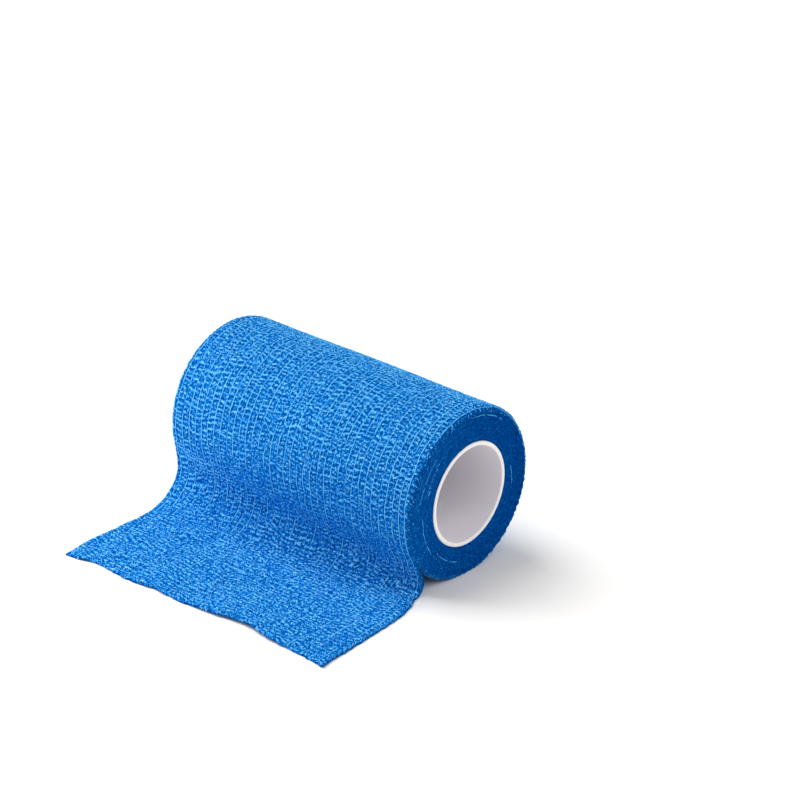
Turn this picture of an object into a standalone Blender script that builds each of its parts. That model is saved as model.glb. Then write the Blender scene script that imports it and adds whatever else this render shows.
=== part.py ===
"""Cohesive bandage roll at real size, in metres with +Z up.

A 10 cm wide elastic bandage is wound on a plastic tube. The roll lies on its side with
its axis along X. Its loose end comes over the top, leaves the roll low on the -Y side
and lies out flat on the surface, towards -Y. The origin is on the surface, under the
middle of the roll.
"""

import math
from collections import namedtuple

import bmesh
import bpy
from mathutils import Vector

MM = 0.001

# Driving sizes.
CLOTH_WIDTH = 100.0 * MM        # the bandage's width, which is the roll's length
ROLL_RADIUS = 27.8 * MM         # mean radius of the outer turn
AXIS_HEIGHT = 27.3 * MM         # less than the radius: the roll's weight flattens it
OVAL = 0.1 * MM                 # the roll has sagged wider than it is tall
LAYER = 0.35 * MM               # one wound layer, pressed by the winding
SHEET = 1.0 * MM                # the loose end, which is relaxed and lofty
RIM_ROUND = 0.9 * MM            # rounding of the wound rims
CORE_RADIUS = 17.0 * MM
CORE_WALL = 1.4 * MM
CORE_EDGE = 0.3 * MM            # broken edges of the tube
FIT_GAP = 0.3 * MM              # between the tube and the first turn
BULGE = 0.7 * MM                # the turns have slumped outwards low on the +Y side
CUTTER_PAST = 10.0 * MM         # how far the bore's cutter runs past each rim

# Slight unevenness of the winding: waves round the roll and along it.
WAVE = 0.12 * MM
WAVES_ROUND = 3.0
WAVES_ALONG = 1.5

# How fine the surfaces are.
BORE_STEPS = 72
RIM_ROWS = 3
WIDTH_ROWS = 16
SWEEP_STEPS = 12
FLOOR_STEPS = 12
SHARP_ANGLE = 40.0

# Angles round the roll start at -Y and go down: -Y is 0, the bottom 90, +Y 180, the top 270.
# Section points stay put from the flat spot to high on the -Y side. From there to the
# line where the outer turn leaves the roll they follow that line.
FLAT_ANGLE = 82.0
BULGE_ANGLE = 128.0
HIGH_ANGLE = 322.0
FIXED_STEPS = 48
UNDER_STEPS = 8
OVER_STEPS = 14

# Where the outer turn leaves the roll and how it sweeps down to the surface. `across` is
# 0 at the +X edge of the cloth and 1 at the -X edge. `drop` and `reach` are the lengths
# over which the sweep keeps the roll's direction and the surface's. `touch` is how far
# from the roll's axis it meets the surface.
Peel = namedtuple("Peel", "across angle drop reach touch")
PEEL_ROWS = (
    Peel(0.00, 41.5, 5.0 * MM, 8.0 * MM, 28.0 * MM),
    Peel(0.35, 37.0, 5.0 * MM, 9.0 * MM, 30.5 * MM),
    Peel(0.70, 30.0, 5.0 * MM, 10.0 * MM, 33.0 * MM),
    Peel(1.00, 24.2, 5.0 * MM, 11.0 * MM, 36.0 * MM),
)

# The loose end's side edges in X, against the distance out from the roll's axis.
Side = namedtuple("Side", "out near far")
SIDE_ROWS = (
    Side(20.0 * MM, 50.0 * MM, -50.0 * MM),
    Side(26.0 * MM, 50.3 * MM, -50.0 * MM),
    Side(34.0 * MM, 52.6 * MM, -49.9 * MM),
    Side(44.0 * MM, 54.1 * MM, -48.0 * MM),
    Side(58.0 * MM, 55.2 * MM, -47.5 * MM),
    Side(68.0 * MM, 56.0 * MM, -47.0 * MM),
    Side(78.0 * MM, 57.9 * MM, -45.0 * MM),
)

# The cut edge: how far out it lies across the width, and how far it lifts.
Cut = namedtuple("Cut", "across out lift")
CUT_ROWS = (
    Cut(0.00, 72.8 * MM, 0.3 * MM),
    Cut(0.10, 72.0 * MM, 0.2 * MM),
    Cut(0.20, 72.3 * MM, 0.7 * MM),
    Cut(0.31, 71.2 * MM, 1.1 * MM),
    Cut(0.43, 73.0 * MM, 0.8 * MM),
    Cut(0.55, 74.4 * MM, 0.2 * MM),
    Cut(0.66, 74.6 * MM, 0.5 * MM),
    Cut(0.75, 75.9 * MM, 0.2 * MM),
    Cut(0.89, 75.9 * MM, 0.4 * MM),
    Cut(0.97, 78.0 * MM, 0.6 * MM),
    Cut(1.00, 77.0 * MM, 0.4 * MM),
)
LIFT_LENGTH = 14.0 * MM         # the lift dies away over this length

Finish = namedtuple("Finish", "colour roughness")
CLOTH_FINISH = Finish((0.03, 0.20, 0.62, 1.0), 0.9)
CORE_FINISH = Finish((0.82, 0.81, 0.84, 1.0), 0.4)


def ease(amount):
    """Go from 0 to 1 with level ends."""
    amount = min(max(amount, 0.0), 1.0)
    return amount * amount * (3.0 - 2.0 * amount)


def read_table(rows, column, place):
    """Read one column at a place in the table's first column, on a smooth curve."""
    place = min(max(place, rows[0][0]), rows[-1][0])
    index = 0
    while index < len(rows) - 2 and place > rows[index + 1][0]:
        index += 1
    low, high = rows[index], rows[index + 1]
    span = high[0] - low[0]
    share = (place - low[0]) / span
    start, end = getattr(low, column), getattr(high, column)
    start_rise = table_slope(rows, column, index) * span
    end_rise = table_slope(rows, column, index + 1) * span
    bend = ease(share)
    value = start + (end - start) * bend
    value += start_rise * share * (1.0 - share) ** 2
    return value - end_rise * share * share * (1.0 - share)


def table_slope(rows, column, index):
    """Give a column's slope at a row, from the rows on either side."""
    before, after = rows[max(index - 1, 0)], rows[min(index + 1, len(rows) - 1)]
    return (getattr(after, column) - getattr(before, column)) / (after[0] - before[0])


def width_stations():
    """List (x, inset) from the +X rim to the -X rim, closer together where they round."""
    half = 0.5 * CLOTH_WIDTH
    near = []
    for row in range(RIM_ROWS):
        angle = 0.5 * math.pi * row / RIM_ROWS
        depth = RIM_ROUND * (1.0 - math.cos(angle))
        near.append((half - depth, RIM_ROUND * (1.0 - math.sin(angle))))
    flat = half - RIM_ROUND
    middle = [(flat - 2.0 * flat * row / WIDTH_ROWS, 0.0) for row in range(WIDTH_ROWS + 1)]
    far = [(-x, inset) for x, inset in reversed(near)]
    return near + middle + far


def wound_angles(peel_angle):
    """List the section's angles round the roll, from under the loose end back to it."""
    under = [peel_angle + (FLAT_ANGLE - peel_angle) * step / UNDER_STEPS for step in range(UNDER_STEPS)]
    fixed = [FLAT_ANGLE + (HIGH_ANGLE - FLAT_ANGLE) * step / FIXED_STEPS for step in range(FIXED_STEPS)]
    over_span = 360.0 + peel_angle - HIGH_ANGLE
    over = [HIGH_ANGLE + over_span * step / OVER_STEPS for step in range(OVER_STEPS + 1)]
    return under + fixed + over


def wound_point(angle, peel_angle, x, inset):
    """Place one point of the outer turn, which grows by one layer on its way round."""
    turned = (angle - peel_angle) / 360.0
    radians = math.radians(angle)
    calm = ease(turned * 4.0) * ease((1.0 - turned) * 4.0)
    wave = math.cos(WAVES_ROUND * radians + math.tau * WAVES_ALONG * x / CLOTH_WIDTH)
    radius = ROLL_RADIUS + LAYER * (turned - 0.5) + OVAL * math.cos(2.0 * radians)
    radius += BULGE * max(math.cos(radians - math.radians(BULGE_ANGLE)), 0.0) ** 2
    radius += WAVE * calm * wave - inset
    height = AXIS_HEIGHT - radius * math.sin(radians)
    return Vector((x, -radius * math.cos(radians), max(height, 0.0)))


def loose_lines(across, start, peel, inset):
    """Place the loose end's outer and inner lines, from the roll to the cut edge."""
    leaving = math.radians(peel.angle)
    heading = Vector((0.0, math.sin(leaving), -math.cos(leaving)))
    landing = Vector((0.0, -peel.touch, SHEET))
    corners = (start, start + heading * peel.drop, landing + Vector((0.0, peel.reach, 0.0)), landing)
    outer, inner = [], []
    for step in range(1, SWEEP_STEPS + 1):
        share = step / SWEEP_STEPS
        place, along = bezier(corners, share)
        inward = Vector((0.0, -along.z, along.y)).normalized()
        thick = LAYER + (SHEET - LAYER) * ease(share)
        rim = inset * (1.0 - ease(2.0 * share))
        outer.append(place + inward * rim)
        inner.append(place + inward * (rim + thick))
    cut_out = read_table(CUT_ROWS, "out", across)
    cut_lift = read_table(CUT_ROWS, "lift", across)
    for step in range(1, FLOOR_STEPS + 1):
        out = peel.touch + (cut_out - peel.touch) * step / FLOOR_STEPS
        lift = cut_lift * ease(1.0 - (cut_out - out) / LIFT_LENGTH)
        outer.append(Vector((0.0, -out, lift + SHEET)))
        inner.append(Vector((0.0, -out, lift)))
    for point in outer + inner:
        near = read_table(SIDE_ROWS, "near", -point.y)
        far = read_table(SIDE_ROWS, "far", -point.y)
        point.x = near + (far - near) * across
    return outer, inner


def bezier(corners, share):
    """Give a point of a four-cornered Bezier curve and its direction there."""
    rest = 1.0 - share
    first, second, third, fourth = corners
    place = first * rest ** 3 + second * (3.0 * rest * rest * share)
    place += third * (3.0 * rest * share * share) + fourth * share ** 3
    along = (second - first) * rest * rest + (third - second) * (2.0 * rest * share)
    along += (fourth - third) * share * share
    return place, along


def section(x, inset):
    """Trace the cloth's section at one station: round the roll, then out and back."""
    across = 0.5 - x / CLOTH_WIDTH
    peel = Peel(across, *(read_table(PEEL_ROWS, column, across) for column in Peel._fields[1:]))
    wound = [wound_point(angle, peel.angle, x, inset) for angle in wound_angles(peel.angle)]
    leaving_point = wound_point(360.0 + peel.angle, peel.angle, x, 0.0)
    outer, inner = loose_lines(across, leaving_point, peel, inset)
    return wound + outer + inner[::-1]


def bandage_mesh():
    """Loft the wound body and the loose end through the sections, as one closed body."""
    model = bmesh.new()
    rows = [[model.verts.new(point) for point in section(x, inset)] for x, inset in width_stations()]
    count = len(rows[0])
    for row, following in zip(rows, rows[1:]):
        for index in range(count):
            beside = (index + 1) % count
            model.faces.new((row[index], row[beside], following[beside], following[index]))
    wound_count = UNDER_STEPS + FIXED_STEPS + OVER_STEPS + 1
    for row in (rows[0], rows[-1]):
        model.faces.new(row[:wound_count])
        for step in range(SWEEP_STEPS + FLOOR_STEPS):
            outer = wound_count - 1 + step
            inner = (count - step) % count
            model.faces.new((row[outer], row[outer + 1], row[count - step - 1], row[inner]))
    bmesh.ops.recalc_face_normals(model, faces=model.faces)
    mesh = bpy.data.meshes.new("bandage")
    model.to_mesh(mesh)
    model.free()
    return mesh


def core_profile():
    """Draw the tube's wall section, at +X: down its outer side and up its inner side."""
    half = 0.5 * CLOTH_WIDTH
    bore = CORE_RADIUS - CORE_WALL
    corners = (
        (CORE_RADIUS - CORE_EDGE, half),
        (CORE_RADIUS, half - CORE_EDGE),
        (CORE_RADIUS, CORE_EDGE - half),
        (CORE_RADIUS - CORE_EDGE, -half),
        (bore + CORE_EDGE, -half),
        (bore, CORE_EDGE - half),
        (bore, half - CORE_EDGE),
        (bore + CORE_EDGE, half),
    )
    points = [(radius, 0.0, height) for radius, height in corners]
    edges = [(index, (index + 1) % len(points)) for index in range(len(points))]
    mesh = bpy.data.meshes.new("core")
    mesh.from_pydata(points, edges, [])
    return mesh


def make_material(name, finish):
    """Make a plain material from a finish."""
    material = bpy.data.materials.new(name)
    material.use_nodes = True
    shader = material.node_tree.nodes["Principled BSDF"]
    shader.inputs["Base Color"].default_value = finish.colour
    shader.inputs["Roughness"].default_value = finish.roughness
    shader.inputs["Metallic"].default_value = 0.0
    material.diffuse_color = finish.colour
    return material


def add_object(name, mesh, collection):
    """Put a mesh in a collection as an object of the same name."""
    piece = bpy.data.objects.new(name, mesh)
    collection.objects.link(piece)
    return piece


def shade_round(mesh):
    """Shade a mesh smooth but for its real edges."""
    mesh.shade_smooth()
    mesh.set_sharp_from_angle(angle=math.radians(SHARP_ANGLE))


def make_bore_cutter(collection):
    """Make the cylinder that opens the wound body for its tube."""
    bpy.ops.mesh.primitive_cylinder_add(
        vertices=BORE_STEPS,
        radius=CORE_RADIUS + FIT_GAP,
        depth=CLOTH_WIDTH + 2.0 * CUTTER_PAST,
        location=(0.0, 0.0, AXIS_HEIGHT),
        rotation=(0.0, 0.5 * math.pi, 0.0),
    )
    cutter = bpy.context.object
    cutter.name = "bore_cutter"
    for holder in list(cutter.users_collection):
        holder.objects.unlink(cutter)
    collection.objects.link(cutter)
    cutter.hide_render = True
    cutter.display_type = "WIRE"
    return cutter


def make_bandage(collection, cutters):
    """Make the wound cloth with its loose end."""
    mesh = bandage_mesh()
    shade_round(mesh)
    mesh.materials.append(make_material("bandage", CLOTH_FINISH))
    bandage = add_object("bandage", mesh, collection)
    bore = bandage.modifiers.new("bore", "BOOLEAN")
    bore.operation = "DIFFERENCE"
    bore.solver = "EXACT"
    bore.object = make_bore_cutter(cutters)
    return bandage


def make_core(collection):
    """Turn the tube from its wall section and lay it in the roll."""
    core = add_object("core", core_profile(), collection)
    core.data.materials.append(make_material("core", CORE_FINISH))
    core.location = (0.0, 0.0, AXIS_HEIGHT)
    core.rotation_euler = (0.0, 0.5 * math.pi, 0.0)
    turn = core.modifiers.new("turn", "SCREW")
    turn.axis = "Z"
    turn.steps = BORE_STEPS
    turn.render_steps = BORE_STEPS
    turn.use_merge_vertices = True
    turn.merge_threshold = 0.01 * MM
    turn.use_smooth_shade = True
    return core


def clear_scene():
    """Remove every object that the file opens with."""
    for old in list(bpy.data.objects):
        bpy.data.objects.remove(old, do_unlink=True)


def main():
    """Build the part in its own collection."""
    clear_scene()
    part = bpy.data.collections.new("cohesive_bandage_roll")
    cutters = bpy.data.collections.new("cutters")
    bpy.context.scene.collection.children.link(part)
    bpy.context.scene.collection.children.link(cutters)
    make_bandage(part, cutters)
    make_core(part)


main()
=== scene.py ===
"""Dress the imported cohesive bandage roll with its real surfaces.

The frame gives the roll, its loose end and its tube as plain solids. This script lays the
looks on them: crinkled cloth with elastic threads along it, the edges of the wound layers,
short teased loops of fibre, and the smooth tube. Lengths are in metres, with +Z up and the
origin on the surface under the middle of the roll, whose axis runs along X.
"""

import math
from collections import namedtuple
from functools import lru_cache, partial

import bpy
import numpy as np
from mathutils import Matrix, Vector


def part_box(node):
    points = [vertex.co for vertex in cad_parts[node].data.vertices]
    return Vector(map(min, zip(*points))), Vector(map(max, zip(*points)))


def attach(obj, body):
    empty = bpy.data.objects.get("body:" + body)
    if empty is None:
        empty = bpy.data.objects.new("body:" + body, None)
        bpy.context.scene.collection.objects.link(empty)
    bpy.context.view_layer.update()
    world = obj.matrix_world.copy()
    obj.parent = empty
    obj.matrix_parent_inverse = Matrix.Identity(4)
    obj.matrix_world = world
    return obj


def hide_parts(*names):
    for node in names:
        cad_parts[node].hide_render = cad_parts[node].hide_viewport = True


bl_info = {
    "name": "Cohesive bandage roll",
    "version": (1, 0, 0),
    "blender": (4, 5, 0),
    "location": "3D View > Sidebar > Bandage",
    "description": "Lays crinkled cloth, threads, layer edges and a tube on the packed roll",
    "category": "Object",
}

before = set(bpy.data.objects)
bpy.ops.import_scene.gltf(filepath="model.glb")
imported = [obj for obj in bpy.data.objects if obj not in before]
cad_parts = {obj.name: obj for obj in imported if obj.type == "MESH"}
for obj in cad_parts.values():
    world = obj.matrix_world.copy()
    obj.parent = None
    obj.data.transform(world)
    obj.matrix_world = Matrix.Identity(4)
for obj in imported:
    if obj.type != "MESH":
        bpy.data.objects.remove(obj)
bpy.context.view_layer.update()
TUBE_LOW, TUBE_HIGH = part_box("core")

MM = 0.001

# The roll's sizes. They are the solids' own, but for how the rims are rounded.
CLOTH_WIDTH = TUBE_HIGH.x - TUBE_LOW.x
TUBE_RADIUS = 0.5 * (TUBE_HIGH.z - TUBE_LOW.z)
AXIS_HEIGHT = 0.5 * (TUBE_HIGH.z + TUBE_LOW.z)
TUBE_WALL = 1.4 * MM
ROLL_RADIUS = 27.8 * MM         # mean radius of the outer turn
OVAL = 0.1 * MM                 # the roll has sagged wider than it is tall
LAYER = 0.35 * MM               # one wound layer, pressed by the winding
SHEET = 1.0 * MM                # the space that the loose end's solid takes up
NEAR_RIM = 1.6 * MM             # rounding of the outer turn's rim at +X
FAR_RIM = 0.7 * MM              # and at -X
GIRTH_HALF = 0.5 * CLOTH_WIDTH + 0.7 * MM   # half the cloth's width, measured round its rims
BULGE = 0.7 * MM                # the turns have slumped outwards low on the +Y side
BULGE_ANGLE = 128.0
WAVE = 0.12 * MM                # slight unevenness, round the roll and along it
WAVES_ROUND = 3.0
WAVES_ALONG = 1.5
WAVES_FADE = 0.25               # they fade out over this share of a turn at the peel line

# Angles round the roll start at -Y and go down: -Y is 0, the bottom 90, +Y 180, the top 270.
# Where the outer turn leaves the roll and how it sweeps down. `across` is 0 at the +X edge
# of the cloth and 1 at the -X edge.
Peel = namedtuple("Peel", "across angle drop reach touch")
PEEL_ROWS = (
    Peel(0.00, 29.0, 2.5 * MM, 6.5 * MM, 23.0 * MM),
    Peel(0.16, 35.0, 4.0 * MM, 8.0 * MM, 27.5 * MM),
    Peel(0.38, 36.0, 5.0 * MM, 9.0 * MM, 30.8 * MM),
    Peel(0.66, 30.0, 5.0 * MM, 11.0 * MM, 33.5 * MM),
    Peel(0.84, 20.0, 5.0 * MM, 16.5 * MM, 36.8 * MM),
    Peel(1.00, 10.0, 5.0 * MM, 22.6 * MM, 39.7 * MM),
)

# The loose end's side edges in X, against the distance out from the roll's axis.
Side = namedtuple("Side", "out near far")
SIDE_ROWS = (
    Side(20.0 * MM, 49.6 * MM, -50.2 * MM),
    Side(24.0 * MM, 50.1 * MM, -50.5 * MM),
    Side(28.0 * MM, 51.9 * MM, -50.6 * MM),
    Side(34.0 * MM, 53.6 * MM, -49.1 * MM),
    Side(44.0 * MM, 54.7 * MM, -47.2 * MM),
    Side(58.0 * MM, 55.8 * MM, -46.8 * MM),
    Side(68.0 * MM, 56.4 * MM, -46.5 * MM),
    Side(78.0 * MM, 57.9 * MM, -45.0 * MM),
)

# The cut edge: how far out it lies across the width, and how far it lifts.
Cut = namedtuple("Cut", "across out lift")
CUT_ROWS = (
    Cut(0.00, 72.8 * MM, 0.3 * MM),
    Cut(0.10, 72.0 * MM, 0.2 * MM),
    Cut(0.20, 72.3 * MM, 0.7 * MM),
    Cut(0.31, 71.2 * MM, 1.1 * MM),
    Cut(0.43, 73.0 * MM, 0.8 * MM),
    Cut(0.55, 74.4 * MM, 0.2 * MM),
    Cut(0.66, 74.6 * MM, 0.5 * MM),
    Cut(0.75, 75.9 * MM, 0.2 * MM),
    Cut(0.89, 75.9 * MM, 0.4 * MM),
    Cut(0.97, 78.0 * MM, 0.3 * MM),
    Cut(1.00, 78.2 * MM, 0.0 * MM),
)
LIFT_LENGTH = 14.0 * MM         # the lift dies away over this length

# The threads' long drift: where along the cloth it is steepest, and its sine's length.
DRIFT_MIDDLE = 42.0 * MM
DRIFT_LENGTH = 130.0 * MM
# The near selvedge's first thread lies further in where the cloth runs over the roll's top.
INWARD = 1.7 * MM
INWARD_MIDDLE = 27.0 * MM
INWARD_HALF = 25.0 * MM
EDGE_ZONE = 8.0 * MM            # towards an edge, the drift gives way over this width
SHOWN_HALF = 45.0 * MM          # that thread shows this far each way from the turn's split
HIDE = 1.2 * MM                 # elsewhere it lies this much further in, under the cloth

# How the cloth lies in its solid's space. The pockets of the crinkle lie this far under the
# solid's skin, and the crests reach it or stand a little proud.
SINK_WOUND = 0.15 * MM
SINK_LOOSE = 0.45 * MM
SHELL_DEPTH = 1.1 * MM          # the outer turn's shell, back to its hidden side
SPLIT_ANGLE = 235.0             # the outer turn is two pieces, which meet behind the top

# Noise in the cloth: how much, its seed, and its grain along and across. Where each lane or
# thread has noise of its own, its number is the place across.
Noise = namedtuple("Noise", "amount seed along across")
WANDER = Noise(1.0, 1, 5.0 * MM, 4.5 * MM)
UNTIDY = Noise(0.8, 17, 16.0 * MM, 14.0 * MM)
BEND_ALONG = Noise(0.33 * MM, 31, 1.4 * MM, 1.3 * MM)
BEND_ACROSS = Noise(0.33 * MM, 32, 1.4 * MM, 1.3 * MM)
SPACING = Noise(0.8, 5, 6.0 * MM, 9.0 * MM)
LANE_SPACING = Noise(0.3, 33, 3.0 * MM, 1.0 / 3.7)
LEAN = Noise(0.5, 2, 9.0 * MM, 1.0 / 5.3)
BEADS = Noise(1.8, 34, 0.7 * MM, 0.5 * MM)
CRUMPLE = Noise(1.0, 7, 0.74 * MM, 0.66 * MM)
FRAY_ACROSS = Noise(0.22 * MM, 21, 0.9 * MM, 8.0 * MM)
FRAY_ALONG = Noise(0.30 * MM, 22, 8.0 * MM, 0.8 * MM)
DIVES = Noise(0.8, 12, 6.0 * MM, 1.0 / 2.59)
RIPPLE = Noise(0.08 * MM, 13, 0.9 * MM, 1.0 / 2.59)
# In the roll's ends: along an arc, along the layers' spiral in turns, and round and outwards.
ARC_WOBBLE = Noise(0.1 * MM, 15, 1.0 / 9.0, 1.0 / 3.7)
ARC_RISE = Noise(0.2 * MM, 16, 1.0 / 15.0, 1.0 / 3.7)
LAYER_SLOW = Noise(0.5, 40, 1.0 / 5.0, 1.0)
LAYER_QUICK = Noise(0.5, 41, 1.0 / 34.0, 1.0)
LAYER_FUZZ = Noise(1.0, 42, 0.7 * MM, 0.45 * MM)
FAR_SEEDS = 10                  # the far end's seeds are this much higher

# The crinkle's relief, from 0 to 1: where it is tidy and where it is untidy.
Relief = namedtuple("Relief", "ground crumple crests")
TIDY_RELIEF = Relief(0.25, 0.46, 1.1)
UNTIDY_RELIEF = Relief(0.30, 0.64, 0.9)
UNTIDY_ZONE = 24.0 * MM         # the untidiness grows over this width from an edge
UNTIDY_EDGE = 0.2               # and starts with this there
LANE_SEED = 4
LANE_DIAGONAL = 9               # the lanes' dice lie on this diagonal of their table
LANE_SHIFT = 0.75               # the most that a lane's crests are shifted, in pitches
CREST_SEED = 6
SMALL_CREST = 0.55              # the smallest crest's share of a full one's size
BEAD_MEAN = 0.76                # what the beads leave of a crest, on the whole
THREAD_CREST = 0.55             # what the threads leave of a crest where they cross it
THREAD_PIT = 0.24               # how much deeper a pocket is beside a thread

# Painted shade at the wound rims: the crinkle is pressed lower there, which also darkens its colour,
# standing in for the shade on the rounded rims.
EDGE_PRESS_SHADE = 0.32               # how far the crinkle is pressed down at the wound rims, darkening them as painted shade
EDGE_REACH = 3.2 * MM
PRESS_SHADE_START = 40.0 * MM         # the pressing and its painted shade grow over this length at the roll's top
BACK_PRESS_SHADE = 0.55               # its share behind there

# Where shade is painted on the cloth as it leaves the roll: its colour is evened out towards a deeper
# tone and its grain fades.
VALLEY_SHADE_MIDDLE = 76.0 * MM
VALLEY_SHADE_HALF = 18.0 * MM
VALLEY_SHADE_PAST = 9.0 * MM          # its half length past the middle
VALLEY_SHADE_EDGE = 1.95 * GIRTH_HALF     # it has died away so far across
VALLEY_SHADE_FADE = 0.9 * GIRTH_HALF      # over this width
VALLEY_SHADE_STRENGTH = 0.35                     # how far its colour is evened out, as painted shade
SHADE_TONE = 0.42                # the deeper tone that the painted shade evens it out to
RIM_SHADE_START = -45.0 * MM          # the near rim gets the same painted shade under the roll, from here back
RIM_SHADE_FADE = 20.0 * MM            # over this length
RIM_SHADE_WIDTH = 3.0 * MM            # and this far in
FRAY_DROP = 0.25 * MM           # the loose end's frayed edges hang this much lower
FRAY_STEPS = 3.0                # and are frayed this many faces in

# How fine the cloth is.
ACROSS_STEPS = 288
BACK_STEPS = 264
FRONT_STEPS = 294
SWEEP_STEPS = 84
FLOOR_STEPS = 168
WOUND_STEPS = BACK_STEPS + FRONT_STEPS
STRIP_STEPS = WOUND_STEPS + SWEEP_STEPS + FLOOR_STEPS
SHELL_RATIO = 6                 # the hidden side has one face for so many outer ones
SHEET_RATIO = 3
INNER_SHADE = 0.3               # how much darker in tone the hidden side is

# The wound layers' edges in the roll's ends.
RING_STEPS = 408
RING_ROWS = 126
RING_RATIO = 6
RING_DEPTH = 2.5 * MM
RING_TUCK = 0.2 * MM            # how far the ring goes in under the rim
RING_GAP = 0.12 * MM            # and how far it keeps from the tube
RIDGE_ROUND = 0.7               # power of the sine that rounds a ridge: lower is rounder
LAYER_TONES = (0.27, 0.22, 0.14, 0.42)  # of all, then of the ridge, its place and the fuzz
FRONT_LIGHT_TONE = 0.13               # the outer layers are painted this much paler towards -Y, as painted light
LAYER_RISES = (0.5, 0.4)        # how far the ridge's place and the fuzz move the edges
LAYER_SINK = 0.8                # how far all edges lie back, but for the outermost ones
OUTERMOST = 0.9                 # these start at this share of the way out
OUTERMOST_FADE = 0.08           # and have come forward after this much more

# Threads that show in the near end: angles from and to, and the radii there.
Arc = namedtuple("Arc", "start end first last")
END_ARCS = (
    Arc(309.0, 342.0, 21.7 * MM, 21.0 * MM),
    Arc(314.0, 349.0, 23.95 * MM, 23.7 * MM),
    Arc(327.0, 345.0, 20.45 * MM, 20.4 * MM),
    Arc(3.0, 50.0, 21.8 * MM, 22.2 * MM),
    Arc(46.0, 78.0, 20.7 * MM, 22.0 * MM),
    Arc(170.0, 188.0, 21.2 * MM, 20.0 * MM),
    Arc(236.0, 274.0, 24.8 * MM, 25.6 * MM),
)
ARC_STEPS = 40
ARC_DEPTH = 0.27 * MM
ARC_THIN = 0.6                  # these threads' thickness, as a share of the others'

TUBE_STEPS = 144
EDGE_STEPS = 4
BORE_ROWS = 8

THREAD_RATIO = 2                # threads have one ring for so many of the cloth's rows
THREAD_SIDES = 4
# How readily a thread shows over the crinkle, and what loose cloth, untidy cloth and painted shade in
# the valley take.
THREAD_SHOWS = 0.67
LOOSE_HIDES = 0.44
UNTIDY_HIDES = 0.55
SHADE_HIDES = 0.25
DIVE_EASE = 0.5                 # a thread goes under over this range of it
HIDDEN_DIVE = 2.0               # how many dives down the selvedge's thread is where it hides
SHOWN_DIVE = 0.5                # and its share of the others' dives where it shows
WOUND_LEVEL = 0.74              # the threads' height on the roll, as a share of the crests'
LOOSE_LEVEL = 0.46              # and in the loose end

LOOP_STEPS = 4
LOOP_SIDES = 3
LOOP_LENGTHS = (0.7 * MM, 1.7 * MM)
LOOP_BOWS = (-0.45 * MM, 0.45 * MM)
LOOP_ARCHES = (0.1 * MM, 0.34 * MM)
LOOP_ROOT = 0.08 * MM           # their ends lie this far under the cloth
ROLL_LOOPS_SEED = 61
LOOSE_LOOPS_SEED = 62
LOOP_ROWS = 2                   # a loop keeps this many rows from its piece's ends
LOOP_COLUMNS = 14               # and this many columns from the cloth's edges
FIBRE_FLAT = 0.55               # the thickness of threads and loops over their width
WOUND_SHARE = 0.65              # share of the loops that stand on the roll

GRAIN = 512                     # side of the table that random values are read from

# The camera, fitted to the photograph, and where the three lights shine from.
CAMERA_PLACE = (0.457425, -0.525051, 0.357816)
CAMERA_YAW = math.radians(39.746)
CAMERA_PITCH = math.radians(24.321)
CAMERA_ROLL = math.radians(2.516)
KEY_FROM = (-0.58, -0.15, 1.0)
SIDE_PLACE = (-0.22, -0.16, 0.058)
FILL_FROM = (0.7, 0.15, 0.8)


# ------------------------------------------------------------------ settings

def length_value(name, about, amount):
    """Declare a length that a user may change."""
    return bpy.props.FloatProperty(
        name=name, description=about, default=amount, min=0.0, precision=5, unit="LENGTH"
    )


def share_value(name, about, amount, highest=1.0):
    """Declare a plain number from 0 up."""
    return bpy.props.FloatProperty(
        name=name, description=about, default=amount, min=0.0, max=highest
    )


def colour_value(name, about, colour):
    """Declare a linear colour."""
    return bpy.props.FloatVectorProperty(
        name=name, description=about, default=colour, size=3, min=0.0, max=1.0, subtype="COLOR"
    )


class ClothSettings(bpy.types.PropertyGroup):
    """The crinkled cloth."""

    crest_height: length_value("Crest height", "From the pockets' floor to the crests", 0.5 * MM)
    crest_pitch: length_value("Crest pitch", "Between crests, along the cloth", 1.6 * MM)
    crest_width: length_value("Crest width", "From a crest's middle to where it thins out", 0.33 * MM)
    thread_pitch: length_value("Thread pitch", "Between elastic threads", 2.75 * MM)
    selvedge: length_value("Selvedge", "From the cloth's edge to its first thread", 0.35 * MM)
    wander: length_value("Wander", "How far threads wander sideways", 0.25 * MM)
    drift: length_value("Drift", "How far threads drift aside over a long stretch", 1.0 * MM)
    # The ramp from pocket to crest is partly the cloth's own tone and partly painted light: the
    # pockets are painted deeper as shade and the crests paler as a highlight.
    pocket: colour_value("Pocket", "Blue in the pockets", (0.0, 0.040, 0.24))
    middle: colour_value("Middle", "Blue half way up", (0.0, 0.160, 0.61))
    slope: colour_value("Slope", "Blue most of the way up", (0.045, 0.37, 0.79))
    crest: colour_value("Crest", "Blue on the crests", (0.22, 0.62, 0.97))
    fuzz: share_value("Fuzz", "How much the cloth lightens where it is seen edge on", 0.2)
    fuzz_colour: colour_value("Fuzz colour", "Pale blue of the fuzz", (0.04, 0.5, 1.0))
    roughness: share_value("Roughness", "Dullness of the cloth", 0.9)


class ThreadSettings(bpy.types.PropertyGroup):
    """The elastic threads and the short teased loops."""

    thickness: length_value("Thread thickness", "Across one thread", 0.27 * MM)
    dive: length_value("Dive", "How far a thread goes under the crinkle here and there", 0.3 * MM)
    colour: colour_value("Thread colour", "Pale blue of the threads", (0.17, 0.68, 1.0))
    deep_colour: colour_value("Deep thread colour", "Blue of a thread in patches", (0.06, 0.45, 1.0))
    loops: bpy.props.IntProperty(
        name="Loops", description="How many teased loops", default=4000, min=0
    )
    loop_thickness: length_value("Loop thickness", "Across one loop's fibre", 0.11 * MM)


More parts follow.
